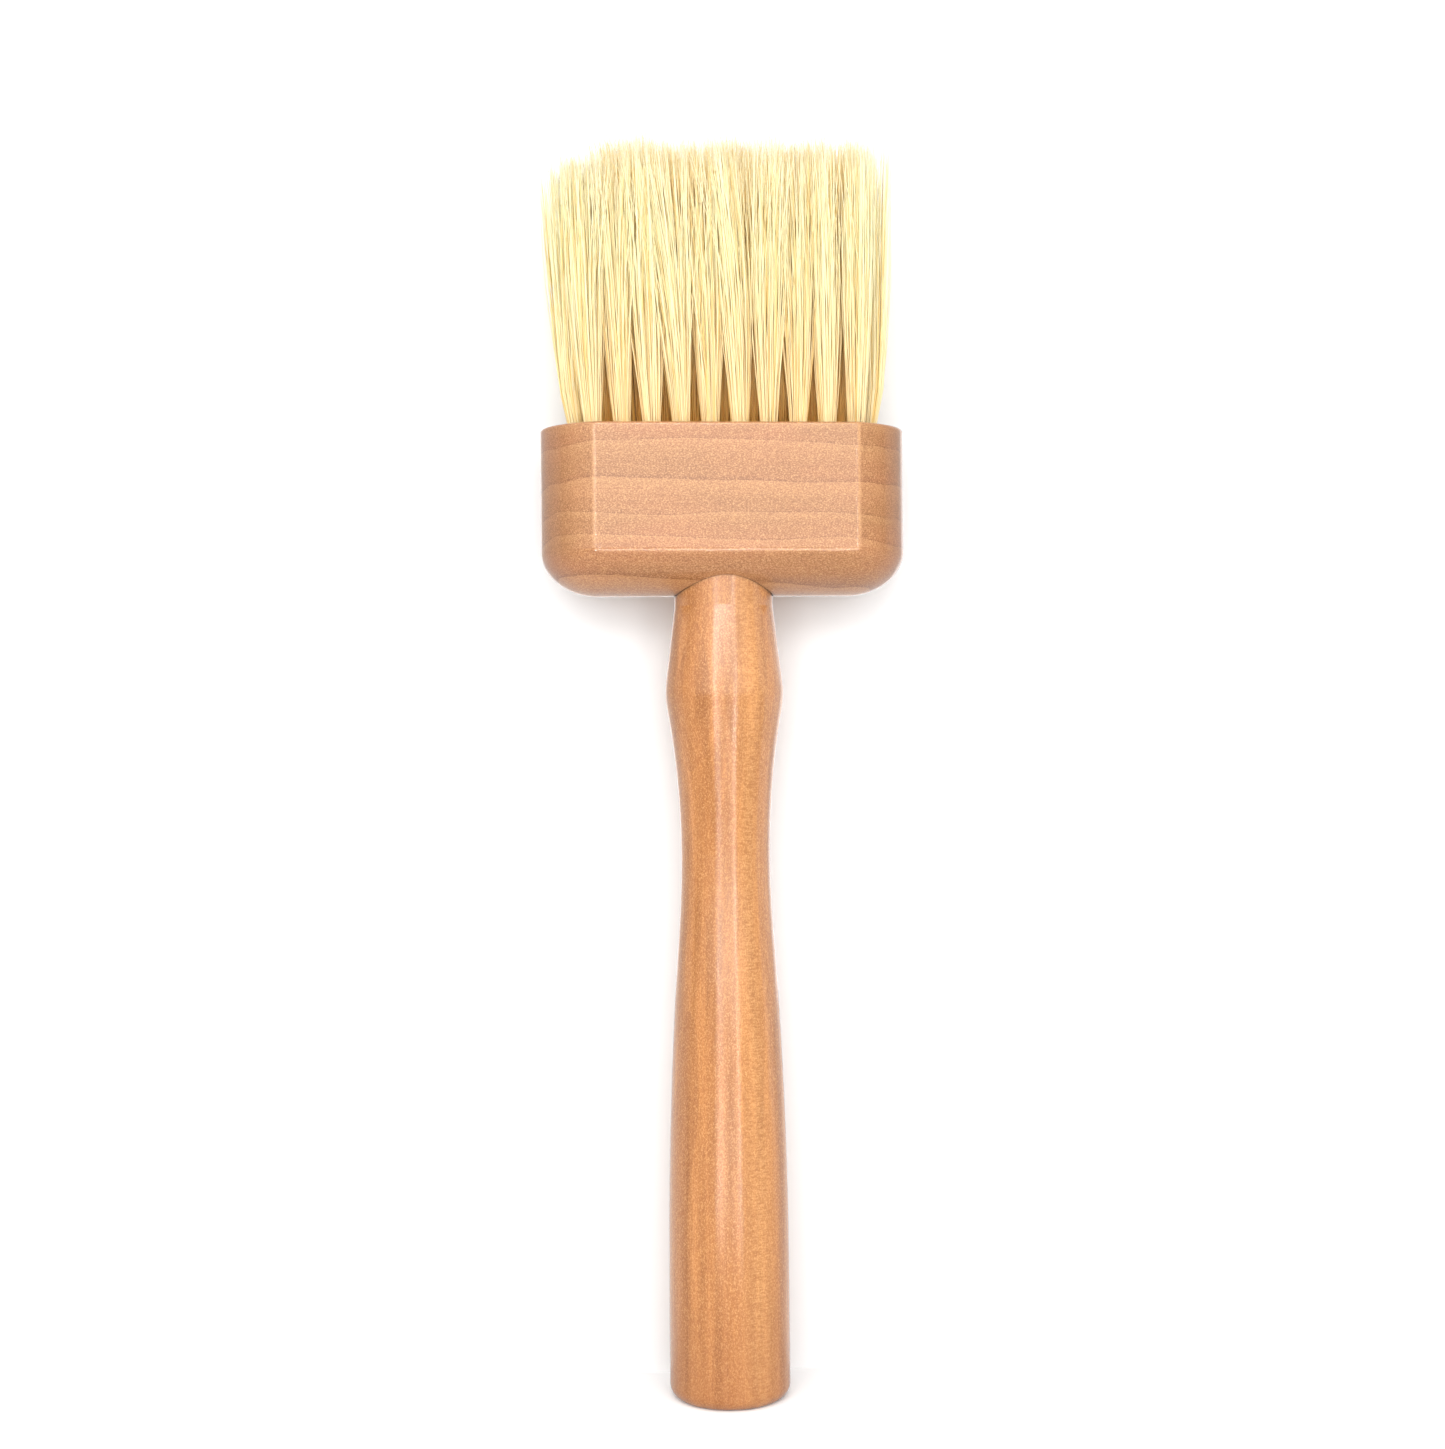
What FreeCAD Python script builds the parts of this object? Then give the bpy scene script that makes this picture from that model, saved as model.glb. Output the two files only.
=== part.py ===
# Neck duster brush: a drilled wooden head block with set bristle tufts, on a turned wooden handle.
#
# Frame: millimetres, +Z up. The brush stands on the flat butt end of its handle. The origin is the centre of
# that end, +Z runs along the handle towards the bristle tips, the head is widest along X, and its flat front
# panel faces -Y.

import FreeCAD, Part
import math
import os
import Sketcher

# Driving dimensions, in millimetres, degrees or plain counts.
SIZES = {
    # whole brush
    "overall_length": 240,
    # head block: a slab with one rounded rim that runs down one side, along the bottom and up the other side
    "head_bottom": 154,
    "head_top": 186,
    "head_width": 70,
    "head_thickness": 26,
    "rim_radius": 14.7,  # radius of the rim's rounded section
    "corner_radius": 8.5,  # radius of the bottom corners, seen from the front, before the stretch in X
    "side_stretch": 1.3,  # the rim is this much wider on the two sides than along the bottom
    "trim_allowance": 0.2,  # the rounded blank stands this much proud of the front, back and top until trimmed
    "crease_round": 2.5,  # softens the crease between each flat panel and the rim
    "top_round": 0.6,  # softens the outline of the top
    # handle, turned about Z
    "grip_diameter": 23.2,
    "butt_round": 2.5,
    "grip_straight": 22,  # the grip is a true cylinder up to here
    "waist_diameter": 17.2,
    "waist_height": 104.4,
    "waist_radius": 200,  # hollow below the waist
    "knuckle_diameter": 22.8,
    "knuckle_height": 135.5,
    "knuckle_radius": 18,
    "neck_diameter": 19,
    "neck_height": 152,
    "tenon_length": 16,  # how far the handle goes into the head
    "tenon_chamfer": 1,
    "glue_gap": 0.1,
    "bore_end_gap": 0.6,
    # tuft holes: staggered rows, front to back, short and long in turn
    "tuft_pitch": 5.55,
    "row_pitch": 4.4,
    "short_row": 10,
    "long_row": 11,
    "hole_diameter": 3.6,
    "hole_depth": 10,
    # tufts and the flat wire anchors that pin them
    "tuft_clearance": 0.05,
    "tuft_tip_diameter": 4.4,
    "fan_angle": 2.5,  # how far the outermost tufts lean outwards
    "anchor_width": 4.2,
    "anchor_thickness": 0.4,
    "anchor_height": 1.6,
    "anchor_lift": 0.7,  # the folded hair under the anchor is this thick
    "anchor_clearance": 0.02,
}
# Each row's place, front to back, in row pitches from the middle, and the sheet's name for its number of tufts.
ROWS = [(-2, "short_row"), (-1, "long_row"), (0, "short_row"), (1, "long_row"), (2, "short_row")]

TOUCHING = 1e-3  # two places nearer than this are the same place

Vector = FreeCAD.Vector
doc = FreeCAD.newDocument("neck_duster")

# ---------------------------------------------------------------------------------------------------------
# Spreadsheet, and helpers that bind the model to it
# ---------------------------------------------------------------------------------------------------------
sheet = doc.addObject("Spreadsheet::Sheet", "sheet")
for line_number, (alias, value) in enumerate(SIZES.items(), start=1):
    sheet.set(f"A{line_number}", alias)
    sheet.set(f"B{line_number}", str(value))
    sheet.setAlias(f"B{line_number}", alias)
doc.recompute()


def size(alias):
    """The number in the sheet under this alias."""
    return float(getattr(sheet, alias))


def bind(item, **expressions):
    """Binds properties of an object to the sheet. A double underscore in a name stands for a dot."""
    for name, expression in expressions.items():
        item.setExpression(name.replace("__", "."), expression)


def new_body(name):
    return doc.addObject("PartDesign::Body", name)


def new_sketch(body, name, plane, height=None):
    """A sketch on one of the body's own origin planes, raised along the plane's normal by an expression."""
    sketch = body.newObject("Sketcher::SketchObject", name)
    origin_plane = next(feature for feature in body.Origin.OriginFeatures if feature.Role == plane)
    sketch.AttachmentSupport = [(origin_plane, "")]
    sketch.MapMode = "FlatFace"
    if height:
        bind(sketch, AttachmentOffset__Base__z=height)
    return sketch


def line(sketch, start, end):
    return sketch.addGeometry(Part.LineSegment(Vector(*start, 0), Vector(*end, 0)), False)


def arc(sketch, centre, radius, first_degrees, last_degrees):
    circle = Part.Circle(Vector(*centre, 0), Vector(0, 0, 1), radius)
    piece = Part.ArcOfCircle(circle, math.radians(first_degrees), math.radians(last_degrees))
    return sketch.addGeometry(piece, False)


def rule(sketch, kind, *elements):
    """A geometric constraint, such as Horizontal or Tangent."""
    sketch.addConstraint(Sketcher.Constraint(kind, *elements))


def dimension(sketch, kind, *elements, value, to=None):
    """A dimension, driven by the expression in `to`, or fixed at its value when there is none."""
    index = sketch.addConstraint(Sketcher.Constraint(kind, *elements, value))
    if to:
        sketch.setExpression(f"Constraints[{index}]", to)


# A sketch's own reference geometry and the places on one of its elements.
X_AXIS = -1
Y_AXIS = -2
ORIGIN = (-1, 1)
START = 1
END = 2
CENTRE = 3


def rectangle(sketch, left, bottom, right, top):
    """Four lines, in the order bottom, right, top, left, square to each other."""
    corners = [(left, bottom), (right, bottom), (right, top), (left, top)]
    sides = [line(sketch, corners[i], corners[(i + 1) % 4]) for i in range(4)]
    for i in range(4):
        rule(sketch, "Coincident", sides[i], END, sides[(i + 1) % 4], START)
    for i, kind in enumerate(["Horizontal", "Vertical", "Horizontal", "Vertical"]):
        rule(sketch, kind, sides[i])
    return sides


# ---------------------------------------------------------------------------------------------------------
# Head block
# ---------------------------------------------------------------------------------------------------------
# The blank is built narrower than the head and then stretched in X, which makes the rim broader on the sides.
HALF_BLANK = "sheet.head_width / 2 / sheet.side_stretch"
CORNER_X = f"({HALF_BLANK} - sheet.corner_radius)"
BLANK_TOP = "sheet.head_top + sheet.trim_allowance"
BLANK_THICKNESS = "sheet.head_thickness + 2 * sheet.trim_allowance"
half_blank = size("head_width") / 2 / size("side_stretch")
corner_x = half_blank - size("corner_radius")
corner_z = size("head_bottom") + size("corner_radius")
blank_top = size("head_top") + size("trim_allowance")
half_section = size("head_thickness") / 2 + size("trim_allowance")


def head_outline(body):
    """The path that the rim follows: down one side, round a corner, along the bottom and up again."""
    sketch = new_sketch(body, "head_outline", "XZ_Plane")
    radius = size("corner_radius")
    left = line(sketch, (-half_blank, blank_top), (-half_blank, corner_z))
    left_corner = arc(sketch, (-corner_x, corner_z), radius, 180, 270)
    bottom = line(sketch, (-corner_x, size("head_bottom")), (corner_x, size("head_bottom")))
    right_corner = arc(sketch, (corner_x, corner_z), radius, 270, 360)
    right = line(sketch, (half_blank, corner_z), (half_blank, blank_top))
    chain = [left, left_corner, bottom, right_corner, right]
    for here, after in zip(chain, chain[1:]):
        rule(sketch, "Tangent", here, END, after, START)
    rule(sketch, "Vertical", left)
    rule(sketch, "Horizontal", bottom)
    rule(sketch, "Equal", left_corner, right_corner)
    rule(sketch, "Symmetric", left, START, right, END, Y_AXIS)
    dimension(sketch, "Radius", left_corner, value=radius, to="sheet.corner_radius")
    dimension(sketch, "DistanceX", left, START, right, END, value=2 * half_blank, to=f"2 * {HALF_BLANK}")
    dimension(sketch, "DistanceY", *ORIGIN, bottom, START, value=size("head_bottom"), to="sheet.head_bottom")
    dimension(sketch, "DistanceY", *ORIGIN, left, START, value=blank_top, to=BLANK_TOP)
    return sketch


def rim_section(body):
    """The rim's rounded section, from its outermost point in to the axis that the corners turn about."""
    sketch = new_sketch(body, "rim_section", "XY_Plane", BLANK_TOP)
    radius = size("rim_radius")
    reach = math.degrees(math.asin(half_section / radius))
    inner_x = radius - half_blank - radius * math.cos(math.radians(reach))
    curve = arc(sketch, (radius - half_blank, 0), radius, 180 - reach, 180 + reach)
    front = line(sketch, (inner_x, -half_section), (-corner_x, -half_section))
    inside = line(sketch, (-corner_x, -half_section), (-corner_x, half_section))
    back = line(sketch, (-corner_x, half_section), (inner_x, half_section))
    rule(sketch, "Coincident", curve, END, front, START)
    rule(sketch, "Coincident", front, END, inside, START)
    rule(sketch, "Coincident", inside, END, back, START)
    rule(sketch, "Coincident", back, END, curve, START)
    rule(sketch, "Horizontal", front)
    rule(sketch, "Symmetric", curve, START, curve, END, X_AXIS)
    rule(sketch, "Symmetric", inside, START, inside, END, X_AXIS)
    dimension(sketch, "Radius", curve, value=radius, to="sheet.rim_radius")
    dimension(sketch, "DistanceX", curve, CENTRE, *ORIGIN, value=half_blank - radius,
              to=f"{HALF_BLANK} - sheet.rim_radius")
    dimension(sketch, "DistanceX", inside, START, *ORIGIN, value=corner_x, to=CORNER_X)
    dimension(sketch, "DistanceY", inside, START, inside, END, value=2 * half_section, to=BLANK_THICKNESS)
    return sketch


def middle_outline(body):
    """The flat middle of the blank, inside the rim."""
    sketch = new_sketch(body, "middle_outline", "XZ_Plane")
    bottom, right, top, left = rectangle(sketch, -corner_x, corner_z, corner_x, blank_top)
    dimension(sketch, "DistanceX", bottom, START, *ORIGIN, value=corner_x, to=CORNER_X)
    dimension(sketch, "DistanceX", *ORIGIN, bottom, END, value=corner_x, to=CORNER_X)
    dimension(sketch, "DistanceY", *ORIGIN, bottom, START, value=corner_z,
              to="sheet.head_bottom + sheet.corner_radius")
    dimension(sketch, "DistanceY", *ORIGIN, top, START, value=blank_top, to=BLANK_TOP)
    return sketch


def head_blank():
    """The head without its holes, a little proud of its flat faces and not yet stretched."""
    body = new_body("head_blank")
    outline = head_outline(body)
    section = rim_section(body)
    doc.recompute()
    rim = body.newObject("PartDesign::AdditivePipe", "rim")
    rim.Profile = section
    rim.Spine = (outline, [f"Edge{number}" for number in range(1, 6)])
    middle = middle_outline(body)
    slab = body.newObject("PartDesign::Pad", "slab")
    slab.Profile = middle
    slab.Midplane = True
    bind(slab, Length=BLANK_THICKNESS)
    body.Tip = slab
    return body


def trimmed_head(blank):
    """The blank stretched in X, then planed flat on the front, the back and the top."""
    stretched = doc.addObject("Part::Scale", "stretched_blank")
    stretched.Base = blank
    stretched.Uniform = False
    bind(stretched, XScale="sheet.side_stretch")
    planed = doc.addObject("Part::Box", "planed_faces")
    bind(planed, Length="2 * sheet.head_width", Width="sheet.head_thickness", Height="sheet.head_top",
         Placement__Base__x="-sheet.head_width", Placement__Base__y="-sheet.head_thickness / 2")
    head = doc.addObject("Part::Common", "trimmed_head")
    head.Base = stretched
    head.Tool = planed
    return head


def round_edges(body, before, name, alias, wanted):
    """A fillet on every edge of the feature `before` whose bounding box is wanted."""
    boxes = [edge.optimalBoundingBox() for edge in before.Shape.Edges]
    fillet = body.newObject("PartDesign::Fillet", name)
    fillet.Base = (before, [f"Edge{number}" for number, edge_box in enumerate(boxes, 1) if wanted(edge_box)])
    bind(fillet, Radius=f"sheet.{alias}")
    body.Tip = fillet
    doc.recompute()
    return fillet


def soften(body):
    """Rounds the creases around the two panels, then the outline of the top."""
    half_thick = size("head_thickness") / 2
    top = size("head_top")

    def is_crease(edge_box):
        on_panel = edge_box.YLength < TOUCHING and abs(abs(edge_box.YMin) - half_thick) < TOUCHING
        return on_panel and edge_box.ZMin < top - TOUCHING

    def is_top_outline(edge_box):
        return edge_box.ZMin > top - TOUCHING

    creases = round_edges(body, body.Group[0], "soft_creases", "crease_round", is_crease)
    round_edges(body, creases, "soft_top", "top_round", is_top_outline)


def cut(body, sketch, name, depth):
    """A pocket straight down, in -Z, from the sketch's plane."""
    pocket = body.newObject("PartDesign::Pocket", name)
    pocket.Profile = sketch
    bind(pocket, Length=depth)
    return pocket


def repeat(body, sketch, pocket, name, count, rows):
    """The pocket again at each tuft of each row of this kind."""
    pattern = body.newObject("PartDesign::LinearPattern", name)
    pattern.Originals = [pocket]
    pattern.Direction = (sketch, ["H_Axis"])
    pattern.Direction2 = (sketch, ["V_Axis"])
    pattern.Occurrences2 = rows
    bind(pattern, Occurrences=f"sheet.{count}", Length=f"(sheet.{count} - 1) * sheet.tuft_pitch",
         Length2=f"{rows - 1} * 2 * sheet.row_pitch")
    body.Tip = pattern


def hole_rows(body, kind, count, rows):
    """The drilled holes, and the slits their anchors bite into, for every short row or every long row."""
    first_x = f"(sheet.{count} - 1) / 2 * sheet.tuft_pitch"
    first_y = f"{rows - 1} * sheet.row_pitch"
    left = (size(count) - 1) / 2 * size("tuft_pitch")
    front = (rows - 1) * size("row_pitch")

    circle_sketch = new_sketch(body, f"{kind}_hole_sketch", "XY_Plane", "sheet.head_top")
    circle = circle_sketch.addGeometry(
        Part.Circle(Vector(-left, -front, 0), Vector(0, 0, 1), size("hole_diameter") / 2), False)
    dimension(circle_sketch, "Diameter", circle, value=size("hole_diameter"), to="sheet.hole_diameter")
    dimension(circle_sketch, "DistanceX", circle, CENTRE, *ORIGIN, value=left, to=first_x)
    dimension(circle_sketch, "DistanceY", circle, CENTRE, *ORIGIN, value=front, to=first_y)
    hole = cut(body, circle_sketch, f"{kind}_hole", "sheet.hole_depth")
    repeat(body, circle_sketch, hole, f"{kind}_holes", count, rows)

    slit_top = ("sheet.head_top - sheet.hole_depth + sheet.anchor_lift + sheet.anchor_height"
                " + sheet.anchor_clearance")
    slit_sketch = new_sketch(body, f"{kind}_slit_sketch", "XY_Plane", slit_top)
    half_wide = size("anchor_width") / 2 + size("anchor_clearance")
    half_thick = size("anchor_thickness") / 2 + size("anchor_clearance")
    near, right, far, left_side = rectangle(slit_sketch, -left - half_wide, -front - half_thick,
                                            -left + half_wide, -front + half_thick)
    dimension(slit_sketch, "DistanceX", near, START, near, END, value=2 * half_wide,
              to="sheet.anchor_width + 2 * sheet.anchor_clearance")
    dimension(slit_sketch, "DistanceY", right, START, right, END, value=2 * half_thick,
              to="sheet.anchor_thickness + 2 * sheet.anchor_clearance")
    dimension(slit_sketch, "DistanceX", near, START, *ORIGIN, value=left + half_wide,
              to=f"{first_x} + sheet.anchor_width / 2 + sheet.anchor_clearance")
    dimension(slit_sketch, "DistanceY", near, START, *ORIGIN, value=front + half_thick,
              to=f"{first_y} + sheet.anchor_thickness / 2 + sheet.anchor_clearance")
    slit = cut(body, slit_sketch, f"{kind}_slit", "sheet.anchor_height + 2 * sheet.anchor_clearance")
    repeat(body, slit_sketch, slit, f"{kind}_slits", count, rows)


def handle_bore(body):
    """The blind bore, from below, that takes the handle's tenon."""
    top = "sheet.head_bottom + sheet.tenon_length + sheet.bore_end_gap"
    sketch = new_sketch(body, "bore_sketch", "XY_Plane", top)
    diameter = size("neck_diameter") + 2 * size("glue_gap")
    circle = sketch.addGeometry(Part.Circle(Vector(), Vector(0, 0, 1), diameter / 2), False)
    rule(sketch, "Coincident", circle, CENTRE, *ORIGIN)
    dimension(sketch, "Diameter", circle, value=diameter, to="sheet.neck_diameter + 2 * sheet.glue_gap")
    bore = cut(body, sketch, "handle_bore", "sheet.tenon_length + 2 * sheet.bore_end_gap")
    body.Tip = bore


def make_head_block():
    body = new_body("head_block")
    body.BaseFeature = trimmed_head(head_blank())
    doc.recompute()
    soften(body)
    handle_bore(body)
    for kind in ("short", "long"):
        rows = sum(count == f"{kind}_row" for place, count in ROWS)
        hole_rows(body, kind, f"{kind}_row", rows)
    return body


# ---------------------------------------------------------------------------------------------------------
# Handle
# ---------------------------------------------------------------------------------------------------------
def handle_profile(body):
    """Half of the turned section, from the axis out: butt, grip, waist, knuckle, neck and tenon."""
    sketch = new_sketch(body, "handle_profile", "XZ_Plane")
    grip = size("grip_diameter") / 2
    waist = size("waist_diameter") / 2
    knuckle = size("knuckle_diameter") / 2
    neck = size("neck_diameter") / 2
    edge = size("butt_round")
    chamfer = size("tenon_chamfer")
    tenon_top = size("head_bottom") + size("tenon_length")

    # The grip swell and the hollow below the waist are two arcs that meet in a common tangent, and so are the
    # hollow above the waist and the knuckle.
    rise = size("waist_height") - size("grip_straight")
    swell_radius = (rise**2 + (grip - waist) ** 2) / (2 * (grip - waist)) - size("waist_radius")
    swell_turn = math.degrees(math.asin(rise / (swell_radius + size("waist_radius"))))
    climb = size("knuckle_height") - size("waist_height")
    hollow_radius = ((climb**2 + (knuckle - waist) ** 2) / (2 * (knuckle - waist))
                     - size("knuckle_radius"))
    hollow_turn = math.degrees(math.asin(climb / (hollow_radius + size("knuckle_radius"))))
    neck_slope = math.degrees(math.atan((knuckle - neck) / (size("neck_height") - size("knuckle_height"))))
    knuckle_centre = (knuckle - size("knuckle_radius"), size("knuckle_height"))
    slope_start = (knuckle_centre[0] + size("knuckle_radius") * math.cos(math.radians(neck_slope)),
                   knuckle_centre[1] + size("knuckle_radius") * math.sin(math.radians(neck_slope)))

    butt = line(sketch, (0, 0), (grip - edge, 0))
    butt_edge = arc(sketch, (grip - edge, edge), edge, -90, 0)
    straight = line(sketch, (grip, edge), (grip, size("grip_straight")))
    swell = arc(sketch, (grip - swell_radius, size("grip_straight")), swell_radius, 0, swell_turn)
    low_hollow = arc(sketch, (waist + size("waist_radius"), size("waist_height")), size("waist_radius"),
                     180, 180 + swell_turn)
    high_hollow = arc(sketch, (waist + hollow_radius, size("waist_height")), hollow_radius,
                      180 - hollow_turn, 180)
    knuckle_arc = arc(sketch, knuckle_centre, size("knuckle_radius"), -hollow_turn, neck_slope)
    slope = line(sketch, slope_start, (neck, size("neck_height")))
    tenon = line(sketch, (neck, size("neck_height")), (neck, tenon_top - chamfer))
    bevel = line(sketch, (neck, tenon_top - chamfer), (neck - chamfer, tenon_top))
    top = line(sketch, (neck - chamfer, tenon_top), (0, tenon_top))
    middle = line(sketch, (0, tenon_top), (0, 0))

    rule(sketch, "Coincident", butt, START, *ORIGIN)
    rule(sketch, "Horizontal", butt)
    rule(sketch, "Tangent", butt, END, butt_edge, START)
    rule(sketch, "Tangent", butt_edge, END, straight, START)
    rule(sketch, "Vertical", straight)
    rule(sketch, "Tangent", straight, END, swell, START)
    rule(sketch, "Tangent", swell, END, low_hollow, END)
    rule(sketch, "Tangent", low_hollow, START, high_hollow, END)
    rule(sketch, "Horizontal", low_hollow, START, low_hollow, CENTRE)
    rule(sketch, "Tangent", high_hollow, START, knuckle_arc, START)
    rule(sketch, "Tangent", knuckle_arc, END, slope, START)
    rule(sketch, "Coincident", slope, END, tenon, START)
    rule(sketch, "Vertical", tenon)
    rule(sketch, "Coincident", tenon, END, bevel, START)
    rule(sketch, "Coincident", bevel, END, top, START)
    rule(sketch, "Horizontal", top)
    rule(sketch, "Coincident", top, END, middle, START)
    rule(sketch, "Coincident", middle, END, butt, START)
    rule(sketch, "Vertical", middle)

    dimension(sketch, "Radius", butt_edge, value=edge, to="sheet.butt_round")
    dimension(sketch, "DistanceX", *ORIGIN, straight, START, value=grip, to="sheet.grip_diameter / 2")
    dimension(sketch, "DistanceY", *ORIGIN, straight, END, value=size("grip_straight"),
              to="sheet.grip_straight")
    dimension(sketch, "DistanceX", *ORIGIN, low_hollow, START, value=waist, to="sheet.waist_diameter / 2")
    dimension(sketch, "DistanceY", *ORIGIN, low_hollow, START, value=size("waist_height"),
              to="sheet.waist_height")
    dimension(sketch, "Radius", low_hollow, value=size("waist_radius"), to="sheet.waist_radius")
    dimension(sketch, "Radius", knuckle_arc, value=size("knuckle_radius"), to="sheet.knuckle_radius")
    dimension(sketch, "DistanceX", knuckle_arc, CENTRE, *ORIGIN, value=-knuckle_centre[0],
              to="sheet.knuckle_radius - sheet.knuckle_diameter / 2")
    dimension(sketch, "DistanceY", *ORIGIN, knuckle_arc, CENTRE, value=size("knuckle_height"),
              to="sheet.knuckle_height")
    dimension(sketch, "DistanceX", *ORIGIN, tenon, START, value=neck, to="sheet.neck_diameter / 2")
    dimension(sketch, "DistanceY", *ORIGIN, tenon, START, value=size("neck_height"), to="sheet.neck_height")
    dimension(sketch, "DistanceY", *ORIGIN, top, START, value=tenon_top,
              to="sheet.head_bottom + sheet.tenon_length")
    dimension(sketch, "DistanceX", bevel, END, bevel, START, value=chamfer, to="sheet.tenon_chamfer")
    dimension(sketch, "DistanceY", bevel, START, bevel, END, value=chamfer, to="sheet.tenon_chamfer")
    return sketch


def make_handle():
    body = new_body("handle")
    profile = handle_profile(body)
    turned = body.newObject("PartDesign::Revolution", "turned")
    turned.Profile = profile
    turned.ReferenceAxis = (profile, ["V_Axis"])
    turned.Angle = 360
    body.Tip = turned
    return body


# ---------------------------------------------------------------------------------------------------------
# Tufts and their anchors
# ---------------------------------------------------------------------------------------------------------
def tuft_x(column, count):
    return f"({column} - (sheet.{count} - 1) / 2) * sheet.tuft_pitch"


def box(name, x, y, bottom, grow):
    """An upright box the size of an anchor, made bigger all round by an expression, centred on x, y."""
    item = doc.addObject("Part::Box", name)
    bind(item, Length=f"sheet.anchor_width + 2 * {grow}", Width=f"sheet.anchor_thickness + 2 * {grow}",
         Height=f"sheet.anchor_height + 2 * {grow}",
         Placement__Base__x=f"{x} - sheet.anchor_width / 2 - {grow}",
         Placement__Base__y=f"{y} - sheet.anchor_thickness / 2 - {grow}",
         Placement__Base__z=f"{bottom} - {grow}")
    return item


def make_tuft(name, column, place, count):
    """A bundle of bristle, folded round its anchor in the hole and spreading slightly above the head."""
    x = tuft_x(column, count)
    y = f"{place} * sheet.row_pitch"
    hole_bottom = "sheet.head_top - sheet.hole_depth"

    root = doc.addObject("Part::Cylinder", f"{name}_root")
    bind(root, Radius="sheet.hole_diameter / 2 - sheet.tuft_clearance",
         Height="sheet.hole_depth - sheet.tuft_clearance", Placement__Base__x=x, Placement__Base__y=y,
         Placement__Base__z=f"{hole_bottom} + sheet.tuft_clearance")

    hair = doc.addObject("Part::Cone", f"{name}_hair")
    outermost = "((sheet.long_row - 1) / 2 * sheet.tuft_pitch)"
    hair.Placement.Rotation = FreeCAD.Rotation(Vector(0, 1, 0), 1)
    bind(hair, Radius1="sheet.hole_diameter / 2 - sheet.tuft_clearance", Radius2="sheet.tuft_tip_diameter / 2",
         Height="sheet.overall_length - sheet.head_top", Placement__Base__x=x, Placement__Base__y=y,
         Placement__Base__z="sheet.head_top",
         Placement__Rotation__Angle=f"{x} / {outermost} * sheet.fan_angle")

    bundle = doc.addObject("Part::Fuse", f"{name}_bundle")
    bundle.Base = root
    bundle.Tool = hair
    tuft = doc.addObject("Part::Cut", name)
    tuft.Base = bundle
    tuft.Tool = box(f"{name}_fold", x, y, f"{hole_bottom} + sheet.anchor_lift", "sheet.anchor_clearance")
    return tuft


def make_anchors(name, place, count):
    """One row's anchors: flat wire strips across the holes, whose ends bite into the wood."""
    strips = [box(f"{name}_strip_{column + 1}", tuft_x(column, count), f"{place} * sheet.row_pitch",
                  "sheet.head_top - sheet.hole_depth + sheet.anchor_lift", "0")
              for column in range(int(size(count)))]
    row = doc.addObject("Part::Compound", name)
    row.Links = strips
    return row


# ---------------------------------------------------------------------------------------------------------
# The whole brush
# ---------------------------------------------------------------------------------------------------------
parts = [make_head_block(), make_handle()]
for number, (place, count) in enumerate(ROWS, start=1):
    parts.append(make_anchors(f"anchors_row_{number}", place, count))
    for column in range(int(size(count))):
        parts.append(make_tuft(f"tuft_row_{number}_{column + 1:02d}", column, place, count))
doc.recompute()

for item in doc.Objects:
    if "Invalid" in item.State or "Error" in item.State:
        raise SystemExit(f"{item.Name} failed: {item.State}")

os.makedirs("parts", exist_ok=True)
for part in parts:
    part.Label = part.Name
    if part.Shape.isNull() or not part.Shape.isValid():
        raise SystemExit(f"{part.Label} has no valid shape")
    part.Shape.exportStep(f"parts/{part.Label}.step")
    print(f"{part.Label}: {len(part.Shape.Solids)} solids, {part.Shape.Volume:.1f} mm3")
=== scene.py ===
import math

import bpy
import numpy as np
from mathutils import Matrix, Vector


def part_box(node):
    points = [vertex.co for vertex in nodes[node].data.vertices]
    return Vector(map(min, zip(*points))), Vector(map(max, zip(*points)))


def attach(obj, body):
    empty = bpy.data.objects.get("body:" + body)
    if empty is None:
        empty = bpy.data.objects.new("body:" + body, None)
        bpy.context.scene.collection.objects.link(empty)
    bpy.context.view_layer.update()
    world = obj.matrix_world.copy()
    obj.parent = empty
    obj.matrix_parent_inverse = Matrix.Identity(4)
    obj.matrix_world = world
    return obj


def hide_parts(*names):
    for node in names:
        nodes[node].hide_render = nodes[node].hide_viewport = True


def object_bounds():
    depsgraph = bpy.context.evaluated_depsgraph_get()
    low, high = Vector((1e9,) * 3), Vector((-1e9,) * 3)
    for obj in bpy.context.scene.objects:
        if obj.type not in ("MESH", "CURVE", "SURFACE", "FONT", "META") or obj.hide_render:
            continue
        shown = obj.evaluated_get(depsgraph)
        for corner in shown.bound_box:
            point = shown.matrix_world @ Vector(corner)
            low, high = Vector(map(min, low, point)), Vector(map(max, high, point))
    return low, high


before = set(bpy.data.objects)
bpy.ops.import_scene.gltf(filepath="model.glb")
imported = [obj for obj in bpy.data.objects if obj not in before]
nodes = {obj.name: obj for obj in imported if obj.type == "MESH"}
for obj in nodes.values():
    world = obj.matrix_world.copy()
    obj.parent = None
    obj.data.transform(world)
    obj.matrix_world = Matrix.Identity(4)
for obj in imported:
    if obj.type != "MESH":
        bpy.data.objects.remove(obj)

# Neck duster brush, standing on the butt end of its handle: the head's front panel faces -Y and the bristles
# point along +Z. Metres throughout; MM turns millimetres into metres.
MM = 0.001
cad_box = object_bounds()
tuft_nodes = sorted(name for name in nodes if name.startswith("tuft_"))
anchor_nodes = sorted(name for name in nodes if name.startswith("anchors_"))
head_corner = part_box("head_block")[1]
HEAD_HALF = head_corner.x
HEAD_BACK = head_corner.y
HEAD_TOP = head_corner.z
BRISTLE_TOP = cad_box[1].z
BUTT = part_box("handle")[0].z


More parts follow.
